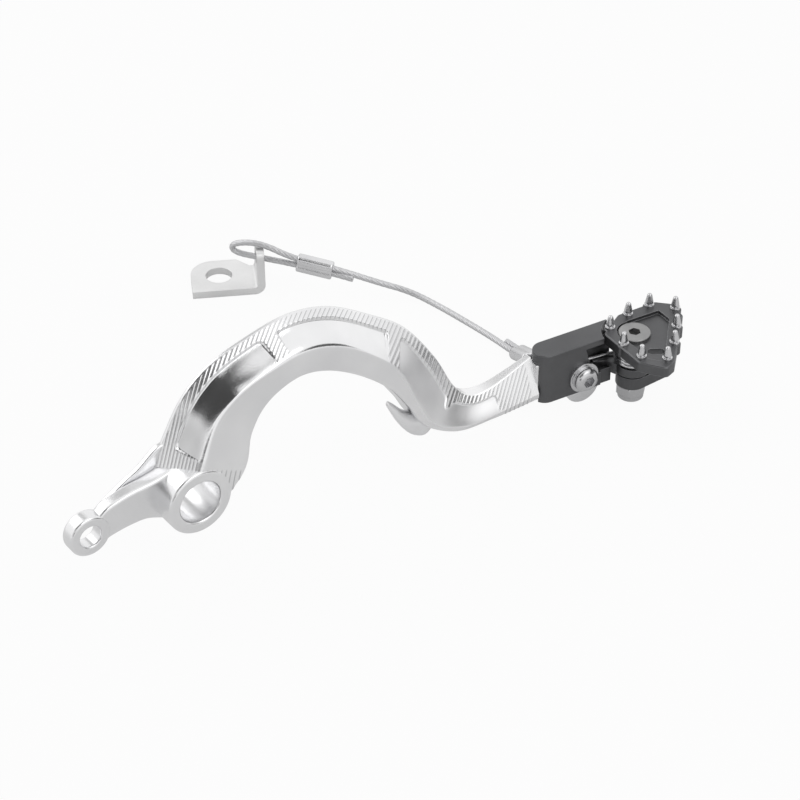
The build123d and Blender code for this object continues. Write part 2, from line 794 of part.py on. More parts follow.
# Safety cable, from the cut stub at the bracket's eye to the cut tail at the pedal's eye
cable_points = [
    (135.8, 92.3, -22.8),
    (131.0, 98.9, -21.75),
    (119.9, 110.8, -19.1),
    (111.8, 121.2, -18.6),
    (105.3, 130.4, -18.2),
    (105.3, 130.4, -14.0),
    (112.0, 120.9, -11.6),
    (120.2, 110.5, -16.65),
    (131.2, 98.6, -19.3),
    (145.4, 87.7, -26.0),
    (153.5, 79.6, -28.6),
    (157.9, 67.3, -30.2),
    (160.4, 51.9, -30.5),
    (161.9, 36.5, -30.2),
    (161.1, 23.2, -28.76),
    (157.3, 10.6, -22.7),
    (153.0, 3.7, -19.3),
    (152.1, -1.2, -17.0),
    (157.8, -1.9, -17.0),
    (158.1, 3.0, -19.3),
    (159.7, 9.9, -22.55),
    (163.5, 22.6, -28.6),
    (164.3, 32.0, -29.9),
]
stops = [Vector(*point) for point in cable_points]
bend_radii = []
for before, corner, after in zip(stops, stops[1:], stops[2:]):
    arriving = corner - before
    leaving = after - corner
    turn = radians(arriving.get_angle(leaving))
    shorter = min(arriving.length, leaving.length)
    bend_radii.append(0.45 * shorter / tan(turn / 2))
print("bend radii", [round(radius, 1) for radius in bend_radii])
with BuildPart() as safety_cable:
    with BuildLine() as cable_path:
        FilletPolyline(*stops, radius=bend_radii)
    with BuildSketch(Plane(origin=cable_path.wires()[0] @ 0, z_dir=cable_path.wires()[0] % 0)):
        Circle(cable_diameter / 2)
    sweep()
cable_length = cable_path.wires()[0].length
print("cable", cable_length, safety_cable.part.volume, 3.1416 * cable_diameter**2 / 4 * cable_length)
keep(safety_cable.part, "safety_cable")
print(len(finished), "pieces")
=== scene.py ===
from math import cos, pi, radians, sin, tan
import bpy
import numpy as np
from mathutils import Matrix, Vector


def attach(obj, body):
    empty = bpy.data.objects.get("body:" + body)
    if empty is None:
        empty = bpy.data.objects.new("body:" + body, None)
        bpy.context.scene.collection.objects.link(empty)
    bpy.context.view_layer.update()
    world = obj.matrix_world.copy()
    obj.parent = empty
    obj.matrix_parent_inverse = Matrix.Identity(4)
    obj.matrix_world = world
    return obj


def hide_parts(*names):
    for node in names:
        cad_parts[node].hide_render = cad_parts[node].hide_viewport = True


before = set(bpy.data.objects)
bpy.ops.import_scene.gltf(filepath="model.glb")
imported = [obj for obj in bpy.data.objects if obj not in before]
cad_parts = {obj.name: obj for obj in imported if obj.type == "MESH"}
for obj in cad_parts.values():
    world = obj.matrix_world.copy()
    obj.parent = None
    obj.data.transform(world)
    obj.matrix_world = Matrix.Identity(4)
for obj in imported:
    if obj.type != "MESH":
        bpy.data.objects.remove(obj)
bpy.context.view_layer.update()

mm = 0.001
print("frame loaded:", len(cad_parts), "nodes")


def addObject(name, data):
    # a new object at the origin, in the scene's own collection
    obj = bpy.data.objects.new(name, data)
    bpy.context.scene.collection.objects.link(obj)
    return obj


view = {
    "target": (0.0900, 0.0, -0.0047),
    "distance": 0.8861,
    "azimuth": -36.6,
    "elevation": 37.2,
    "lens": 113.4,
    "sensor": 36.0,
    "clipStart": 0.01,
}


def placeCamera(view):
    # stands off the target along the viewing angle, with no roll and no shift
    az, el = radians(view["azimuth"]), radians(view["elevation"])
    away = Vector((sin(az) * cos(el), -cos(az) * cos(el), sin(el)))
    data = bpy.data.cameras.new("photoCamera")
    data.lens = view["lens"]
    data.sensor_width = view["sensor"]
    data.clip_start = view["clipStart"]
    cam = addObject("photoCamera", data)
    cam.location = Vector(view["target"]) + away * view["distance"]
    cam.rotation_euler = (-away).to_track_quat("-Z", "Y").to_euler()
    bpy.context.scene.camera = cam


placeCamera(view)
print("camera placed")


def smoothStep(x):
    # 3x^2 - 2x^3 between 0 and 1, flat outside
    x = np.clip(x, 0.0, 1.0)
    return x * x * (3.0 - 2.0 * x)


def unit(v):
    # each vector divided by its length
    return v / np.linalg.norm(v, axis=-1, keepdims=True)


def walked(line):
    # how far each point of a line lies from its start, along the line
    return np.r_[0, np.cumsum(np.linalg.norm(np.diff(line, axis=0), axis=1))]


def smoothThrough(table, places):
    # Catmull-Rom: each stretch is a cubic whose end slopes are half the step between its neighbours
    table = np.asarray(table, float)
    padded = np.vstack([2 * table[0] - table[1], table, 2 * table[-1] - table[-2]])
    low = np.clip(np.floor(places), 0, len(table) - 2).astype(int)
    t = (places - low)[:, None]
    a, b, c, d = padded[low], padded[low + 1], padded[low + 2], padded[low + 3]
    cubic = (3 * b - a - 3 * c + d) * t + (2 * a - 5 * b + 4 * c - d)
    return b + 0.5 * t * ((c - a) + t * cubic)


def roundLoop(corners, radii, arcSteps, runSteps):
    # a closed section: every corner turns into an arc tangent to its two sides, with even points between
    # corners is rows x count x 2, and lap says which corner a column belongs to, plus its share of the run
    count = corners.shape[1]
    u = unit(np.roll(corners, 1, 1) - corners)
    v = unit(np.roll(corners, -1, 1) - corners)
    half = np.arccos(np.clip((u * v).sum(-1), -1, 1)) / 2
    start = corners + u * (radii / np.tan(half))[..., None]
    stop = corners + v * (radii / np.tan(half))[..., None]
    centre = corners + unit(u + v) * (radii / np.sin(half))[..., None]
    a0 = np.arctan2(*np.moveaxis(start - centre, -1, 0)[::-1])
    a1 = np.arctan2(*np.moveaxis(stop - centre, -1, 0)[::-1])
    sweep = (a1 - a0 + pi) % (2 * pi) - pi
    parts, lap = [], []
    for i in range(count):
        f = np.linspace(0, 1, arcSteps[i])
        angle = a0[:, i, None] + sweep[:, i, None] * f
        ring = np.stack([np.cos(angle), np.sin(angle)], -1) * radii[:, i, None, None]
        g = np.linspace(0, 1, runSteps[i] + 2)[1:-1]
        ahead = start[:, (i + 1) % count] - stop[:, i]
        parts += [centre[:, i, None] + ring, stop[:, i, None] + ahead[:, None] * g[None, :, None]]
        lap += [np.full(arcSteps[i], float(i)), i + g]
    return np.concatenate(parts, 1), np.concatenate(lap)


def gridPiece(name, points, ring=False, marks=None, sharp=50, hub0=None):
    # points is rows x columns x 3 in millimetres, closed round the columns
    # the rows close on themselves too for a ring, or end in flat fans
    rows, cols = points.shape[:2]
    r = np.arange(rows if ring else rows - 1)[:, None]
    c = np.arange(cols)[None, :]
    rn, cn = (r + 1) % rows, (c + 1) % cols
    quads = np.stack([r * cols + c, r * cols + cn, rn * cols + cn, rn * cols + c], -1).reshape(-1, 4)
    verts = points.reshape(-1, 3)
    fans = np.empty((0, 3), int)
    if not ring:
        hub = rows * cols
        verts = np.vstack([verts, points[0].mean(0) if hub0 is None else hub0, points[-1].mean(0)])
        c, cn = c[0], cn[0]
        near = np.stack([np.full(cols, hub), cn, c], 1)
        far = np.stack([np.full(cols, hub + 1), c, cn], 1) + [[0, hub - cols, hub - cols]]
        fans = np.vstack([near, far])
    tris = np.vstack([quads[:, [0, 1, 2]], quads[:, [0, 2, 3]], fans])
    volume = np.einsum("ij,ij->", verts[tris[:, 0]], np.cross(verts[tris[:, 1]], verts[tris[:, 2]]))
    if volume < 0:  # turn every face outwards
        quads, fans = quads[:, ::-1], fans[:, ::-1]
    mesh = bpy.data.meshes.new(name)
    mesh.from_pydata((verts * mm).tolist(), [], quads.tolist() + fans.tolist())
    mesh.shade_smooth()
    mesh.set_sharp_from_angle(angle=radians(sharp))
    for mark, values in (marks or {}).items():
        flat = np.zeros(len(verts), np.float32)
        flat[: rows * cols] = values.reshape(-1)
        mesh.attributes.new(mark, "FLOAT", "POINT").data.foreach_set("value", flat)
    return addObject(name, mesh)


ringSteps = {"arc": 7, "run": 6}


def turned(name, ring):
    # a closed profile of (radius, height) corners turned about an axis through the ring's centre
    profile, radii = np.array([ring["profile"]], float), np.array([ring["edges"]], float)
    corners = profile.shape[1]
    loop = roundLoop(profile, radii, [ringSteps["arc"]] * corners, [ringSteps["run"]] * corners)[0][0]
    axis, across = unit(np.array(ring["axis"], float)), np.array(ring["across"], float)
    across = unit(across - axis * (across @ axis))
    side = np.cross(axis, across)
    angle = np.linspace(0, 2 * pi, ring["around"], endpoint=False)
    spoke = np.cos(angle)[:, None] * across + np.sin(angle)[:, None] * side
    points = np.array(ring["centre"]) + loop[:, None, :1] * spoke[None] + loop[:, None, 1:] * axis
    return gridPiece(name, points, ring=True)


barSteps = {
    "arc": [6, 6, 6, 6],
    "run": [5, 5, 9, 5],
    "tipCrowding": 2.2,
    "tipStart": 0.004,
    "mostRounded": 0.9,
}


def strip(name, bar):
    # a bar between two lines in the XZ plane, from near to far in Y, with its four long edges rounded:
    # lower far, upper far, upper near and lower near, each as far as the bar's section lets it
    # a tip in mm rounds off the bar's start as a quarter of an ellipse, where the rows then lie closer
    rows, tip, edge = bar["rows"], bar.get("tip"), bar["edge"]
    crowding = barSteps["tipCrowding"] if tip else 1
    places = np.linspace(0, 1, rows) ** crowding * (len(bar["lower"]) - 1)
    low, high = smoothThrough(bar["lower"], places), smoothThrough(bar["upper"], places)
    sides = smoothThrough(np.stack([bar["near"], bar["far"]], 1), places)
    if tip:
        middle = (low + high) / 2
        inside = np.linalg.norm(middle - middle[0], axis=1) + barSteps["tipStart"]
        swell = np.sqrt(1 - np.clip(1 - inside / tip, 0, 1) ** 2)[:, None]
        low, high = middle + (low - middle) * swell, middle + (high - middle) * swell
        centre = sides.mean(1, keepdims=True)
        sides = centre + (sides - centre) * swell
    width = np.linalg.norm(high - low, axis=1)
    depth = sides[:, 1] - sides[:, 0]
    a, b, c, d = edge
    fits = np.minimum.reduce([width / (a + b), depth / (b + c), width / (c + d), depth / (d + a)])
    rim = np.minimum(1, barSteps["mostRounded"] * fits)[:, None] * np.array(edge)
    zero = np.zeros(rows)
    corners = np.stack([zero, sides[:, 1], width, sides[:, 1], width, sides[:, 0], zero, sides[:, 0]], 1)
    loop = roundLoop(corners.reshape(rows, 4, 2), rim, barSteps["arc"], barSteps["run"])[0]
    plane = low[:, None] + loop[..., :1] * unit(high - low)[:, None]
    marks = {"polish": np.full(loop.shape[:2], bar.get("polish", 0.0))}
    return gridPiece(name, np.stack([plane[..., 0], loop[..., 1], plane[..., 1]], -1), marks=marks)


ferrule = {
    # where the sleeve starts, which way it runs and which way its two barrels lie
    "places": {
        "cable_ferrule_bracket": ((121.4, 109.2, -18.2), (0.669, -0.723, -0.162), (0.110, -0.119, 0.987)),
        "cable_ferrule_pedal": ((158.54, 10.34, -22.67), (0.2625, 0.871, -0.417), (0.9636, -0.2594, 0.0651)),
    },
    "names": {"cable_ferrule_bracket": "ropeBracketFerrule", "cable_ferrule_pedal": "ropePedalFerrule"},
    "length": 14.2,
    "barrel": 2.6,
    "spacing": 2.5,
    "parting": 5.0,
    "wall": 1.4,
    "waistDepth": 0.55,
    "waistWidth": 0.9,
    "edges": [0.3, 0.7, 0.7, 0.3],
    "arcSteps": [6, 6, 6, 6],
    "runSteps": [2, 20, 2, 8],
    "around": 96,
}


def makeFerrule(node, place, ferrule):
    # two barrels side by side, pressed to a waist between them, with rounded rims
    # the section is a circle whose halves are moved apart, less a bell curve where they meet
    start, way, wide = (np.array(v) for v in place)
    way = unit(way)
    wide = unit(wide - way * (wide @ way))
    long, wall = ferrule["length"], ferrule["wall"]
    corners = np.array([[(-wall, 0), (0, 0), (0, long), (-wall, long)]], float)
    rim = roundLoop(corners, np.array([ferrule["edges"]]), ferrule["arcSteps"], ferrule["runSteps"])[0][0]
    angle = np.linspace(0, 2 * pi, ferrule["around"], endpoint=False)
    size = ferrule["barrel"] + rim[:, :1]
    x = ferrule["spacing"] / 2 * np.tanh(ferrule["parting"] * np.cos(angle)) + size * np.cos(angle)
    waist = ferrule["waistDepth"] * np.exp(-((x / ferrule["waistWidth"]) ** 2))
    y = size * np.sin(angle) - np.sign(np.sin(angle)) * waist
    points = start + x[..., None] * wide + y[..., None] * np.cross(way, wide) + rim[:, None, 1:] * way
    piece = gridPiece(ferrule["names"][node], points, ring=True)
    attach(piece, "pedal")
    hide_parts(node)
    return piece


ropeFerrules = [makeFerrule(node, place, ferrule) for node, place in ferrule["places"].items()]
print("ferrules made:", len(ropeFerrules))

rope = {
    "points": [
        (135.8, 92.3, -22.8), (131.0, 98.9, -21.75), (119.9, 110.8, -19.1), (111.8, 121.2, -18.6),
        (105.3, 130.4, -18.2), (105.3, 130.4, -14.0), (112.0, 120.9, -11.6), (120.2, 110.5, -16.65),
        (131.2, 98.6, -19.3), (145.4, 87.7, -26.0), (153.5, 79.6, -28.6), (157.9, 67.3, -30.2),
        (160.4, 51.9, -30.5), (161.9, 36.5, -30.2), (161.1, 23.2, -28.76), (157.3, 10.6, -22.7),
        (153.0, 3.7, -19.3), (152.1, -1.2, -17.0), (157.8, -1.9, -17.0), (158.1, 3.0, -19.3),
        (159.7, 9.9, -22.55), (163.5, 22.6, -28.6), (164.3, 32.0, -29.9),
    ],
    "routeSteps": 32,
    "routeOrder": 3,
    "diameter": 2.4,
    "strands": 6,
    "strandDepth": 0.30,
    "layPitch": 15.0,
    "rows": 520,
    "around": 48,
    "sharp": 70,
    "reference": (0.55, 0.62, 0.56),
    "exit": (160.5, 19.0, -27.0),
    "length": 0.2515,
}


def routeLine(rope):
    # the smooth line of a NURBS spline with the rope's control points, as a row of positions in metres
    points = rope["points"]
    data = bpy.data.curves.new("ropeRoute", "CURVE")
    data.dimensions = "3D"
    data.resolution_u = rope["routeSteps"]
    spline = data.splines.new("NURBS")
    spline.points.add(len(points) - 1)
    spline.points.foreach_set("co", np.c_[np.array(points) * mm, np.ones(len(points))].ravel())
    spline.order_u = rope["routeOrder"]
    spline.use_endpoint_u = True
    route = addObject("ropeRoute", data)
    bpy.context.view_layer.update()
    mesh = bpy.data.meshes.new_from_object(route)
    line = np.zeros(len(mesh.vertices) * 3, np.float32)
    mesh.vertices.foreach_get("co", line)
    bpy.data.objects.remove(route)
    return line.reshape(-1, 3).astype(float)


def makeRope(rope):
    # six strands laid round the route: the section is a ring of arcs that turns once in every lay
    # a strand is a circle with a third of the rope's radius, and its centre lies at two thirds
    line = routeLine(rope)
    run = walked(line)
    at = np.linspace(0, run[-1], rope["rows"])
    path = np.stack([np.interp(at, run, line[:, k]) for k in range(3)], 1) / mm
    tangent = unit(np.gradient(path, axis=0))
    aside = np.array(rope["reference"])
    aside = unit(aside - tangent * (tangent @ aside)[:, None])
    other = np.cross(tangent, aside)
    angle = np.linspace(0, 2 * pi, rope["around"], endpoint=False)
    sector = 2 * pi / rope["strands"]
    phi = (angle + sector / 2) % sector - sector / 2
    strand = 2 / 3 * np.cos(phi) + np.sqrt(np.maximum(1 / 9 - 4 / 9 * np.sin(phi) ** 2, 0))
    rim = rope["diameter"] / 2 * (1 - rope["strandDepth"] * (1 - strand))
    spin = angle[None] + (at / mm * 2 * pi / rope["layPitch"])[:, None]
    points = path[:, None] + rim[None, :, None] * (
        np.cos(spin)[..., None] * aside[:, None] + np.sin(spin)[..., None] * other[:, None]
    )
    piece = gridPiece("safetyRope", points, sharp=rope["sharp"])
    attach(piece, "pedal")
    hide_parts("safety_cable")
    print("rope length", round(float(run[-1]), 5))
    return piece


safetyRope = makeRope(rope)

arm = {
    # outer edge x, z, inner edge x, z, bevel depth inward, bevel drop outboard, crease rounding
    "stations": [
        (-10.6, 6.4, 10.5, -4.0, 8.0, 11.7, 3.4),
        (-9.6, 9.0, 14.9, 0.2, 8.0, 11.7, 3.4),
        (-4.0, 20.0, 20.4, 6.6, 8.0, 11.7, 3.0),
        (3.6, 32.2, 23.6, 15.4, 8.0, 11.7, 2.0),
        (14.0, 40.7, 28.4, 23.4, 8.0, 11.7, 1.2),
        (28.6, 45.6, 35.6, 28.2, 7.5, 11.5, 1.4),
        (46.0, 48.2, 45.0, 30.1, 7.2, 11.5, 2.8),
        (63.0, 44.4, 55.4, 27.2, 8.5, 11.7, 2.2),
        (80.0, 34.0, 67.5, 19.9, 10.0, 11.7, 1.2),
        (94.6, 22.6, 79.5, 9.4, 13.0, 11.2, 1.4),
        (105.6, 7.0, 87.7, -2.0, 16.2, 9.6, 1.6),
        (112.0, -6.6, 94.8, -13.4, 15.4, 7.4, 1.6),
        (117.6, -11.9, 108.6, -21.7, 10.4, 5.6, 1.4),
        (126.4, -11.5, 124.2, -22.6, 8.6, 5.2, 1.2),
        (143.2, -5.0, 143.2, -21.6, 13.4, 5.6, 1.0),
    ],
    # how rows are spread: steps of the guide line, and how much of it each edge has
    "guideSteps": 4000,
    "guideShares": (0.6, 0.4),
    "rows": 760,
    # columns on the rounded corners and on the runs after them, from the far inner corner on
    "arcSteps": [4, 4, 4, 7, 6],
    "runSteps": [6, 12, 58, 18, 7],
    # near and far sides in Y before the bend and at the neck, and how softly they turn
    "near": (-8.0, -12.77),
    "far": (5.0, -4.77),
    "bendX": 84.0,
    "neckX": 143.2,
    "bendSoftness": 0.006,
    "bossKeep": 10.8,
    "footHub": (5.6, -2.0, 9.7),
    "footFlare": 2.8,
    "flarePlaces": (3.2, 1.3),
    "backEdges": (1.0, 0.6),
    "landEdge": 0.5,
    "innerEdge": 2.2,
    "sharp": 60,
    # places along the arm, outer margin and run-out at the crease as shares of the bevel, then sizes in mm
    # a notch has its place, its width there and its reach as a share of the bevel
    "panels": [
        {"places": (1.85, 5.30), "margin": (0.30, 0.19), "runOut": 0.75,
         "corner": 2.4, "depth": 0.9, "polish": 1.0},
        {"places": (5.6, 8.5), "margin": (0.26, 0.26), "runOut": 0.60,
         "corner": 1.6, "depth": 0.9, "polish": 1.0},
        {"places": (8.85, 13.1), "margin": (0.24, 0.28), "runOut": 0.70,
         "corner": 2.2, "depth": 0.6, "polish": -1.0, "notch": (11.2, 0.16, 0.30)},
    ],
    "panelWall": 0.8,
    "ridgeDirection": (0.61, -0.78, -0.14),
    "ridgePitch": 1.24,
    "ridgeHeight": 0.13,
    # the near face has ridges before the foot's place and after the neck's, and all end at the stop
    # each has its place along the arm, and over how much of a place it fades
    "ridgeFoot": (1.75, 0.12),
    "ridgeNeck": (13.15, 0.10),
    "ridgeStop": (13.86, 0.05),
}


def armSections(arm):
    # five-sided sections along the stations: back, outer land, bevel, near face and inner edge
    stations = np.array(arm["stations"])
    fine = np.linspace(0, len(stations) - 1, arm["guideSteps"])
    guide = smoothThrough(stations, fine)
    outerShare, innerShare = arm["guideShares"]
    run = walked(guide[:, :2] * outerShare + guide[:, 2:4] * innerShare)
    at = np.linspace(0, run[-1], arm["rows"])
    place = np.interp(at, run, fine)
    row = smoothThrough(stations, place)
    outer, inner, bevel, drop, crease = row[:, :2], row[:, 2:4], row[:, 4], row[:, 5], row[:, 6]
    width = np.linalg.norm(outer - inner, axis=1)
    t = ((outer + inner)[:, 0] / 2 - arm["bendX"]) / (arm["neckX"] - arm["bendX"])
    turn = 0.5 * (t + np.sqrt(t * t + arm["bendSoftness"]))  # 0 before the bend, then t, with a soft change
    near = arm["near"][0] + turn * (arm["near"][1] - arm["near"][0])
    far = arm["far"][0] + turn * (arm["far"][1] - arm["far"][0])
    first, last = arm["flarePlaces"]
    flare = arm["footFlare"] * smoothStep((first - place) / (first - last))
    face = near - flare  # the near face swells towards the boss until it is flush with the ring
    zero, one = np.zeros_like(width), np.ones_like(width)
    corners = np.stack([zero, far, width, far, width, near + drop, width - bevel, face, zero, face], 1)
    backInner, backOuter = arm["backEdges"]
    edges = [one * backInner, one * backOuter, one * arm["landEdge"], crease, one * arm["innerEdge"]]
    loop, lap = roundLoop(corners.reshape(-1, 5, 2), np.stack(edges, 1), arm["arcSteps"], arm["runSteps"])
    plane = inner[:, None] + loop[..., :1] * unit(outer - inner)[:, None]
    push = np.maximum(1, arm["bossKeep"] / np.linalg.norm(plane, axis=-1, keepdims=True))
    plane = plane * push  # what would cross the pivot bore lies round it, inside the boss
    points = np.stack([plane[..., 0], loop[..., 1], plane[..., 1]], -1)
    spans = [np.interp(panel["places"], fine, run) for panel in arm["panels"]]
    return points, lap, place, at, spans, np.hypot(bevel, drop + flare)


def sinkPanels(arm, share, place, at, spans, slant):
    # how deep, how polished and how far inside a panel each point of the arm is
    # a panel is the inside of a rounded rectangle on the bevel, open at the crease where its depth runs out
    across = share * slant[:, None]
    polish, inside, sunk = (np.zeros(across.shape) for k in range(3))
    for panel, (a0, a1) in zip(arm["panels"], spans):
        corner = panel["corner"]
        margin = np.interp(place, panel["places"], panel["margin"])
        if "notch" in panel:  # the ridges reach further down the bevel at this place
            middle, width, reach = panel["notch"]
            margin = margin + reach * np.exp(-(((place - middle) / width) ** 2))
        qa = np.abs(at[:, None] - (a0 + a1) / 2) - (a1 - a0) / 2 + corner
        qb = (margin * slant)[:, None] - across + corner
        away = np.minimum(np.maximum(qa, qb), 0) + np.hypot(np.maximum(qa, 0), np.maximum(qb, 0)) - corner
        mask = smoothStep(-away / arm["panelWall"])
        runOut = smoothStep((slant[:, None] - across) / (panel["runOut"] * slant)[:, None])
        polish += mask * (share <= 1) * panel["polish"]
        inside = np.maximum(inside, mask * (share <= 1))
        sunk = np.maximum(sunk, mask * runOut * panel["depth"])
    return polish, inside, sunk


def makeArm(arm):
    # panels are sunk into the bevel, and cutter ridges with parabolic hollows stand between them
    points, lap, place, at, spans, slant = armSections(arm)
    normal = unit(np.cross(np.gradient(points, axis=0), np.roll(points, -1, 1) - np.roll(points, 1, 1)))
    land = np.argmax(lap > 1)  # a column on the outer land, which faces up at the top of the arch
    normal = normal * np.sign(normal[len(points) // 2, land, 2])
    share = np.clip(lap - 2, -1, 2)[None, :]  # 0 to 1 across the bevel
    polish, inside, sunk = sinkPanels(arm, share, place, at, spans, slant)
    foot, footFade = arm["ridgeFoot"]
    neck, neckFade = arm["ridgeNeck"]
    stop, stopFade = arm["ridgeStop"]
    ends = np.maximum(smoothStep((foot - place) / footFade), smoothStep((place - neck) / neckFade))
    onBevel, onFace = (lap > 2) & (lap < 3), (lap >= 3) & (lap <= 4)
    ridge = np.maximum(onBevel[None, :], ends[:, None] * onFace[None, :]) * (1 - inside)
    ridge = ridge * smoothStep((stop - place) / stopFade)[:, None]
    phase = (points @ np.array(arm["ridgeDirection"])) / arm["ridgePitch"]
    cusp = (2 * (phase - np.floor(phase)) - 1) ** 2
    height = ridge * arm["ridgeHeight"] * cusp - sunk
    marks = {"polish": polish, "ridge": ridge}
    points = points + normal * height[..., None]
    return gridPiece("armBody", points, marks=marks, sharp=arm["sharp"], hub0=arm["footHub"])


boss = {
    "centre": (0, 0, 0),
    "axis": (0, 1, 0),
    "across": (1, 0, 0),
    "profile": [(7.9, -11.0), (12.3, -11.0), (12.3, 11.0), (7.9, 11.0)],
    "edges": [0.9, 1.2, 1.2, 0.9],
    "around": 128,
}
eye = {
    "centre": (-37.6, 0, -1.4),
    "axis": (0, 1, 0),
    "across": (1, 0, 0),
    "profile": [(4.05, -3.0), (7.6, -3.0), (7.6, 3.0), (4.05, 3.0)],
    "edges": [0.7, 1.1, 1.1, 0.7],
    "around": 96,
}
web = {
    "lower": [(-33.6, -6.6), (-29.0, -5.2), (-22.0, -4.4), (-16.0, -4.6), (-9.5, -7.4)],
    "upper": [(-33.6, 4.6), (-30.0, 7.0), (-22.0, 8.8), (-13.0, 9.6), (-6.0, 11.0)],
    "near": [-2.6, -2.7, -2.8, -3.0, -3.0],
    "far": [2.6, 2.7, 2.8, 3.0, 3.0],
    "edge": [1.2, 1.2, 1.2, 1.2],
    "rows": 60,
}
gusset = {
    "lower": [(-28.5, 3.0), (-22.0, 3.0), (-14.0, 3.0), (-4.0, 3.0), (0.0, 3.0)],
    "upper": [(-28.9, 4.3), (-21.5, 8.6), (-14.8, 12.0), (-7.5, 17.2), (-1.5, 18.0)],
    "near": [3.0, 3.0, 3.0, 3.0, 3.0],
    "far": [5.4, 5.4, 5.4, 5.4, 5.4],
    "edge": [0.7, 0.7, 0.7, 0.7],
    "rows": 60,
}
hook = {
    "lower": [(79.9, 1.2), (82.4, -4.0), (86.0, -10.6), (90.2, -15.9), (96.0, -18.6), (103.0, -17.0)],
    "upper": [(80.7, 2.2), (83.8, -1.0), (87.7, -5.3), (92.4, -8.4), (98.5, -9.0), (104.0, -9.5)],
    "near": [-5.8, -6.8, -7.4, -7.9, -7.7, -4.4],
    "far": [-4.6, -4.0, -3.4, -2.6, -1.8, -1.5],
    "edge": [1.4, 0.4, 3.9, 1.8],
    "rows": 90,
    "tip": 1.4,
    "polish": -1.5,
}
tongue = {
    # along the carrier's slot from its nose, and turned outboard with it
    "noseAt": (143.5, -8.769),
    "yaw": 7.0,
    "lower": [(-0.4, -21.2), (4.0, -22.0), (12.0, -23.0), (16.6, -23.3), (21.6, -22.0)],
    "upper": [(-0.4, -6.7), (4.0, -6.7), (12.0, -6.7), (16.6, -7.0), (21.6, -12.6)],
    "near": [-2.4, -2.4, -2.4, -2.4, -2.4],
    "far": [2.4, 2.4, 2.4, 2.4, 2.4],
    "edge": [0.6, 0.6, 0.6, 0.6],
    "rows": 40,
}
heel = {
    "alongSlot": 20.35,
    "height": -23.3,
    "profile": [(0.4, -2.4), (7.0, -2.4), (7.0, 2.4), (0.4, 2.4)],
    "edges": [0.05, 0.6, 0.6, 0.05],
    "around": 72,
}


def makeTongue(tongue, heel):
    # a bar along the carrier's slot, and the round heel under its end
    yaw = radians(tongue["yaw"])
    along, inboard = np.array([cos(yaw), -sin(yaw), 0]), np.array([sin(yaw), cos(yaw), 0])
    piece = strip("armTongue", tongue)
    spots = np.zeros(len(piece.data.vertices) * 3)
    piece.data.vertices.foreach_get("co", spots)
    x, y, z = spots.reshape(-1, 3).T
    nose = np.array([*tongue["noseAt"], 0])
    placed = nose * mm + x[:, None] * along + y[:, None] * inboard + z[:, None] * np.array([0, 0, 1])
    piece.data.vertices.foreach_set("co", placed.ravel())
    centre = nose + along * heel["alongSlot"] + np.array([0, 0, heel["height"]])
    return [piece, turned("armHeel", {**heel, "centre": centre, "axis": inboard, "across": along})]


armPieces = [
    makeArm(arm), turned("armBoss", boss), turned("armEye", eye), strip("armWeb", web),
    strip("armGusset", gusset), strip("armHook", hook), *makeTongue(tongue, heel),
]
for piece in armPieces:
    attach(piece, "pedal")
    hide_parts("pedal_arm")
print("arm made of", len(armPieces), "surfaces")


def newFinish(name, metallic):
    # a material with the usual shader, whose textures lie on Object coordinates
    mat = bpy.data.materials.new(name)
    mat.use_nodes = True
    nodes, links = mat.node_tree.nodes, mat.node_tree.links
    shader = nodes["Principled BSDF"]
    shader.inputs["Metallic"].default_value = metallic
    coord = nodes.new("ShaderNodeTexCoord")
    return mat, nodes, links, shader, coord.outputs["Object"]


def feed(links, slot, value):
    # a socket is linked, and a plain value is set on the slot
    if isinstance(value, bpy.types.NodeSocket):
        links.new(value, slot)
    else:
        slot.default_value = value


def reckon(nodes, links, operation, *values):
    # a sum on single values
    node = nodes.new("ShaderNodeMath")
    node.operation = operation
    for slot, value in zip(node.inputs, values):
        feed(links, slot, value)
    return node.outputs["Value"]


def reckonVector(nodes, links, operation, output, *values):
    # a sum on vectors
    node = nodes.new("ShaderNodeVectorMath")
    node.operation = operation
    for slot, value in zip(node.inputs, values):
        feed(links, slot, value)
    return node.outputs[output]


def noise(nodes, links, coord, scale, detail):
    # cloudy value from 0 to 1
    tex = nodes.new("ShaderNodeTexNoise")
    tex.inputs["Scale"].default_value = scale
    tex.inputs["Detail"].default_value = detail
    links.new(coord, tex.inputs["Vector"])
    return tex.outputs["Fac"]


def spread(nodes, links, value, low, high, fromLow=0.3, fromHigh=0.7, clamp=True):
    # maps a value to a range, by default from where cloudy values mostly lie
    ranged = nodes.new("ShaderNodeMapRange")
    ranged.clamp = clamp
    ranged.inputs["From Min"].default_value = fromLow
    ranged.inputs["From Max"].default_value = fromHigh
    ranged.inputs["To Min"].default_value = low
    ranged.inputs["To Max"].default_value = high
    links.new(value, ranged.inputs["Value"])
    return ranged.outputs["Result"]


def ramp(nodes, links, value, dark, light, low=0.3, high=0.7):
    # goes evenly from a dark tint to a light one between two values
    blend = nodes.new("ShaderNodeValToRGB")
    blend.color_ramp.elements[0].position = low
    blend.color_ramp.elements[0].color = (*dark, 1)
    blend.color_ramp.elements[1].position = high
    blend.color_ramp.elements[1].color = (*light, 1)
    links.new(value, blend.inputs["Fac"])
    return blend.outputs["Color"]


def tinged(nodes, links, share, colour, other):
    # a colour that goes over to another by a share
    mix = nodes.new("ShaderNodeMix")
    mix.data_type = "RGBA"
    links.new(share, mix.inputs["Factor"])
    links.new(colour, mix.inputs[6])
    mix.inputs[7].default_value = (*other, 1)
    return mix.outputs[2]


def attribute(nodes, name):
    # a mark that the mesh carries at each point, and 0 where it has none
    node = nodes.new("ShaderNodeAttribute")
    node.attribute_name = name
    return node.outputs["Fac"]


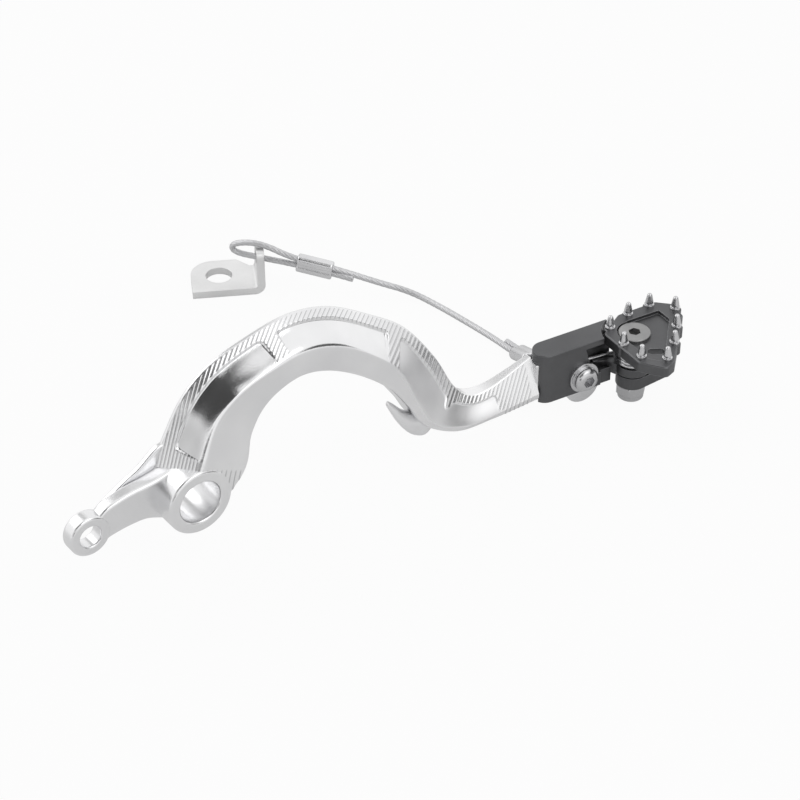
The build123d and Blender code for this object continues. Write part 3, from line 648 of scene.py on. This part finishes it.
def addGrain(nodes, links, value, strength, distance, shader, normal=None):
    # tilts the shading by the slope of a value, on top of softened edges where there are any
    bump = nodes.new("ShaderNodeBump")
    if normal:
        links.new(normal, bump.inputs["Normal"])
    bump.inputs["Strength"].default_value = strength
    bump.inputs["Distance"].default_value = distance
    links.new(value, bump.inputs["Height"])
    links.new(bump.outputs["Normal"], shader.inputs["Normal"])


alloy = {
    "dark": (0.80, 0.80, 0.81),
    "light": (0.90, 0.90, 0.905),
    "tintScale": 45,
    "tintDetail": 4.0,
    # painted shade on the ridge crests: its dark tint, its strength, and how far from a crest it fades
    "crestShadeTint": (0.34, 0.34, 0.35),
    "crestShadeShare": 0.62,
    "crestShadeReach": (0.03, 0.18),
    "satin": 0.20,
    "mirror": 0.08,
    "uneven": 0.10,
    "grain": 2600,
    "grainDetail": 2.0,
    "grainStrength": 0.5,
    "grainDepth": 0.00005,
}


def armFinish(alloy, arm):
    # forged alloy: satin with a fine blast grain, mirror-bright where the polish mark is 1, with a painted
    # shade in dark lines along the ridge crests
    mat, nodes, links, shader, coord = newFinish("brightAlloy", 1.0)
    tint = noise(nodes, links, coord, alloy["tintScale"], alloy["tintDetail"])
    unshadedTint = ramp(nodes, links, tint, alloy["dark"], alloy["light"])
    # the crests of the cutter's ridges get a painted shade, dark lines in step with the ridges of the surface
    turns = tuple(k / (arm["ridgePitch"] * mm) for k in arm["ridgeDirection"])
    phase = reckon(nodes, links, "FRACT", reckonVector(nodes, links, "DOT_PRODUCT", "Value", coord, turns))
    fromCrest = reckon(nodes, links, "PINGPONG", phase, 0.5)
    crestShadeByPhase = spread(nodes, links, fromCrest, alloy["crestShadeShare"], 0.0, *alloy["crestShadeReach"])
    paintedCrestShade = reckon(nodes, links, "MULTIPLY", crestShadeByPhase, attribute(nodes, "ridge"))
    links.new(tinged(nodes, links, paintedCrestShade, unshadedTint, alloy["crestShadeTint"]), shader.inputs["Base Color"])
    fine = noise(nodes, links, coord, alloy["grain"], alloy["grainDetail"])
    polish = attribute(nodes, "polish")
    gloss = spread(nodes, links, polish, alloy["satin"], alloy["mirror"], 0.0, 1.0, clamp=False)
    rough = reckon(nodes, links, "MULTIPLY_ADD", fine, alloy["uneven"], gloss)
    links.new(rough, shader.inputs["Roughness"])
    addGrain(nodes, links, fine, alloy["grainStrength"], alloy["grainDepth"], shader)
    return mat


# darkest and lightest tint, roughness, grain scale and depth, and what each is on
# broken is the radius of an edge that catches light, and the paler tint given to such edges is a painted
# highlight
finishes = {
    "darkAnodised": {
        "tints": ((0.108, 0.109, 0.113), (0.138, 0.139, 0.143)), "rough": (0.32, 0.44), "metallic": 0.85,
        # the paler tint on the broken edges is a painted highlight
        "grain": 1800, "depth": 0.00002, "broken": 0.00035, "edgeHighlightTint": (0.30, 0.30, 0.31),
        "on": ["tip_carrier", "foot_tip"],
    },
    "brightSteel": {
        "tints": ((0.56, 0.56, 0.57), (0.70, 0.70, 0.71)), "rough": (0.16, 0.28), "metallic": 1.0,
        "grain": 2200, "depth": 0.00001, "broken": 0.00035,
        "on": ["carrier_screw", "pivot_nut", "pivot_sleeve", *[f"tip_tooth_{i}" for i in range(1, 10)]],
    },
    "satinSteel": {
        "tints": ((0.30, 0.30, 0.30), (0.38, 0.38, 0.38)), "rough": (0.34, 0.48), "metallic": 1.0,
        "grain": 2000, "depth": 0.00002, "broken": 0.00035, "on": ["pivot_bolt"],
    },
    "springSteel": {
        "tints": ((0.62, 0.62, 0.63), (0.74, 0.74, 0.75)), "rough": (0.18, 0.28), "metallic": 1.0,
        "grain": 1500, "depth": 0.000004, "on": ["fold_spring"],
    },
    "nylonWhite": {
        "tints": ((0.55, 0.56, 0.58), (0.64, 0.65, 0.67)), "rough": (0.45, 0.55), "metallic": 0.0,
        "grain": 900, "depth": 0.00001, "broken": 0.00035, "on": ["nut_insert"],
    },
    "wireRope": {
        "tints": ((0.56, 0.56, 0.57), (0.66, 0.66, 0.67)), "rough": (0.38, 0.50), "metallic": 1.0,
        "grain": 1600, "depth": 0.000004, "on": [safetyRope],
    },
    "ferruleAlloy": {
        "tints": ((0.66, 0.66, 0.67), (0.78, 0.78, 0.79)), "rough": (0.18, 0.28), "metallic": 1.0,
        "grain": 900, "depth": 0.000004, "on": ropeFerrules,
    },
    "zincSteel": {
        "tints": ((0.74, 0.74, 0.74), (0.84, 0.84, 0.84)), "rough": (0.30, 0.45), "metallic": 1.0,
        "grain": 1200, "depth": 0.00002, "broken": 0.00035, "on": ["cable_bracket"],
    },
}
finishDetail = {
    "tintScale": 60,
    "tintDetail": 4.0,
    "grainDetail": 2.0,
    "grainStrength": 0.5,
    "edgeSamples": 6,
    # where the painted edge highlight is full and where it ends, by how far the softened facing agrees with
    # the face's own
    "edgeHighlightFrom": (0.86, 0.99),
}


def smallFinish(name, look, detail):
    # a cloudy tint, an uneven gloss and a fine grain, with broken edges that may get a paler painted
    # highlight
    mat, nodes, links, shader, coord = newFinish(name, look["metallic"])
    tint = noise(nodes, links, coord, detail["tintScale"], detail["tintDetail"])
    colour = ramp(nodes, links, tint, *look["tints"])
    facing = None
    if "broken" in look:
        softened = nodes.new("ShaderNodeBevel")
        softened.samples = detail["edgeSamples"]
        softened.inputs["Radius"].default_value = look["broken"]
        facing = softened.outputs["Normal"]
    # painted highlight: a paler tint where the softened facing differs from the face's own
    if "edgeHighlightTint" in look:  # where the softened facing differs from the face's own
        flat = nodes.new("ShaderNodeNewGeometry").outputs["Normal"]
        turn = reckonVector(nodes, links, "DOT_PRODUCT", "Value", facing, flat)
        edgeHighlightShare = spread(nodes, links, turn, 1.0, 0.0, *detail["edgeHighlightFrom"])
        colour = tinged(nodes, links, edgeHighlightShare, colour, look["edgeHighlightTint"])
    links.new(colour, shader.inputs["Base Color"])
    fine = noise(nodes, links, coord, look["grain"], detail["grainDetail"])
    links.new(spread(nodes, links, fine, *look["rough"]), shader.inputs["Roughness"])
    addGrain(nodes, links, fine, detail["grainStrength"], look["depth"], shader, facing)
    return mat


def dress(mat, pieces):
    # pieces are objects of this scene or names of CAD nodes
    for piece in pieces:
        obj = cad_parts[piece] if isinstance(piece, str) else piece
        obj.data.materials.clear()
        obj.data.materials.append(mat)


dress(armFinish(alloy, arm), armPieces)
for name, look in finishes.items():
    dress(smallFinish(name, look, finishDetail), look["on"])
print("finishes on:", len(finishes) + 1)

floor = {
    "height": -0.032,
    "half": 3.0,
    "colour": 0.62,
    "seenWhite": 0.94,
    # how white the floor is to metal near the middle and far from it, and where that changes; the grey near
    # the middle is a painted shade where the part's shadow lies
    "mirroredShadeToWhite": (0.24, 0.85),
    "mirroredReach": (0.18, 0.60),
    "middle": (0.09, 0.0, -0.032),
}
studio = {
    "roomLight": 0.80,
    # ovals with soft rims that only metal sees: angles in degrees, full the share of the half before the
    # rim starts to clear, level the grey that they show
    "ovals": [
        {"azimuth": -150, "elevation": 55, "lean": 32, "half": (22, 40), "full": 0.62, "level": 0.06},
        {"azimuth": -138, "elevation": 7, "lean": 0, "half": (22, 11), "full": 0.60, "level": 0.08},
        {"azimuth": -174, "elevation": 13, "lean": 0, "half": (15, 12), "full": 0.30, "level": 0.58},
        {"azimuth": 95, "elevation": 46, "lean": 0, "half": (26, 16), "full": 0.30, "level": 0.36},
        {"azimuth": -40, "elevation": 14, "lean": 0, "half": (26, 15), "full": 0.60, "level": 0.10},
    ],
    "ovalDistance": 1.2,
    "ovalPoints": 64,
    # name, place, size and power
    "lamps": [
        ("keyLamp", (0.10, -0.55, 0.95), (0.9, 0.6), 1.6),
        ("backLamp", (-0.35, 0.75, 0.75), (0.8, 0.5), 1.6),
    ],
    "lampAim": (0.08, 0.03, 0.0),
}


def bareMaterial(name):
    # a material with no shader yet
    mat = bpy.data.materials.new(name)
    mat.use_nodes = True
    nodes, links = mat.node_tree.nodes, mat.node_tree.links
    nodes.remove(nodes["Principled BSDF"])
    return mat, nodes, links


def backdropShare(nodes, links, seen, mirrored):
    # how far a ray takes the backdrop's white: the camera's rays one share, those off metal or through
    # glass another
    path = nodes.new("ShaderNodeLightPath").outputs
    indirect = reckon(nodes, links, "MAXIMUM", path["Is Glossy Ray"], path["Is Transmission Ray"])
    shared = reckon(nodes, links, "MULTIPLY", indirect, mirrored)
    return reckon(nodes, links, "MULTIPLY_ADD", path["Is Camera Ray"], seen, shared)


def mixed(nodes, links, share, first, second, output):
    # the first shader goes over to the second by a share
    mix = nodes.new("ShaderNodeMixShader")
    links.new(share, mix.inputs["Fac"])
    links.new(first, mix.inputs[1])
    links.new(second, mix.inputs[2])
    links.new(mix.outputs["Shader"], nodes[output].inputs["Surface"])


def makeFloor(floor):
    # pale sheet under the part, mostly its own white to the camera, so that a soft shadow stays
    h, z = floor["half"], floor["height"]
    mesh = bpy.data.meshes.new("studioFloor")
    mesh.from_pydata([(-h, -h, z), (h, -h, z), (h, h, z), (-h, h, z)], [], [(0, 1, 2, 3)])
    addObject("studioFloor", mesh)
    mat, nodes, links = bareMaterial("floorWhite")
    lit = nodes.new("ShaderNodeBsdfDiffuse")
    lit.inputs["Color"].default_value = (floor["colour"], floor["colour"], floor["colour"], 1)
    glow = nodes.new("ShaderNodeEmission")
    coord = nodes.new("ShaderNodeTexCoord").outputs["Object"]
    away = reckonVector(nodes, links, "DISTANCE", "Value", coord, floor["middle"])
    # painted shade: metal sees the floor greyer near the part's middle and whiter further out
    mirrored = spread(nodes, links, away, *floor["mirroredShadeToWhite"], *floor["mirroredReach"])
    share = backdropShare(nodes, links, floor["seenWhite"], mirrored)
    mixed(nodes, links, share, lit.outputs["BSDF"], glow.outputs["Emission"], "Material Output")
    mesh.materials.append(mat)


def makeWorld(studio):
    # white to the camera and to metal, and a softer even light on everything
    world = bpy.data.worlds.new("studio")
    bpy.context.scene.world = world
    world.use_nodes = True
    nodes, links = world.node_tree.nodes, world.node_tree.links
    room = nodes["Background"]
    room.inputs["Color"].default_value = (1, 1, 1, 1)
    room.inputs["Strength"].default_value = studio["roomLight"]
    white = nodes.new("ShaderNodeBackground")
    white.inputs["Color"].default_value = (1, 1, 1, 1)
    share = backdropShare(nodes, links, 1.0, 1.0)
    mixed(nodes, links, share, room.outputs["Background"], white.outputs["Background"], "World Output")


def makeOval(name, oval, distance, count):
    # a flat oval square to its direction, which only reflections see and which clears towards its rim
    az, el, lean = (radians(oval[k]) for k in ("azimuth", "elevation", "lean"))
    toward = np.array([cos(az) * cos(el), sin(az) * cos(el), sin(el)])
    level = np.array([-sin(az), cos(az), 0.0])
    upright = np.cross(toward, level)
    aside, above = level * cos(lean) - upright * sin(lean), upright * cos(lean) + level * sin(lean)
    wide, tall = (distance * tan(radians(h)) for h in oval["half"])
    angle = np.linspace(0, 2 * pi, count, endpoint=False)[:, None]
    rim = toward * distance + np.cos(angle) * aside * wide + np.sin(angle) * above * tall
    mesh = bpy.data.meshes.new(name)
    mesh.from_pydata(rim.tolist(), [], [tuple(range(count))])
    card = addObject(name, mesh)
    card.visible_camera = card.visible_diffuse = card.visible_shadow = card.visible_transmission = False
    mat, nodes, links = bareMaterial(name)
    grey = nodes.new("ShaderNodeEmission")
    grey.inputs["Color"].default_value = (oval["level"], oval["level"], oval["level"], 1)
    coord = nodes.new("ShaderNodeTexCoord").outputs["Object"]
    offset = reckonVector(nodes, links, "SUBTRACT", "Vector", coord, tuple(toward * distance))
    both = nodes.new("ShaderNodeCombineXYZ")
    for slot, axis in (("X", aside / wide), ("Y", above / tall)):  # divided by its half, so the rim lies at 1
        reach = reckonVector(nodes, links, "DOT_PRODUCT", "Value", offset, tuple(axis))
        links.new(reach, both.inputs[slot])
    far = reckonVector(nodes, links, "LENGTH", "Value", both.outputs["Vector"])
    clear = nodes.new("ShaderNodeBsdfTransparent")
    share = spread(nodes, links, far, 0.0, 1.0, oval["full"], 1.0)
    mixed(nodes, links, share, grey.outputs["Emission"], clear.outputs["BSDF"], "Material Output")
    mesh.materials.append(mat)


def makeLamps(studio):
    # soft rectangles of light, each turned towards the aim
    aim = Vector(studio["lampAim"])
    for name, spot, size, power in studio["lamps"]:
        data = bpy.data.lights.new(name, "AREA")
        data.shape = "RECTANGLE"
        data.size, data.size_y = size
        data.energy = power
        lamp = addObject(name, data)
        lamp.location = spot
        lamp.rotation_euler = (aim - Vector(spot)).to_track_quat("-Z", "Y").to_euler()


makeFloor(floor)
makeWorld(studio)
for count, oval in enumerate(studio["ovals"], 1):
    makeOval("darkOval%d" % count, oval, studio["ovalDistance"], studio["ovalPoints"])
makeLamps(studio)
bpy.context.scene.view_settings.view_transform = "Standard"
print("studio lit")
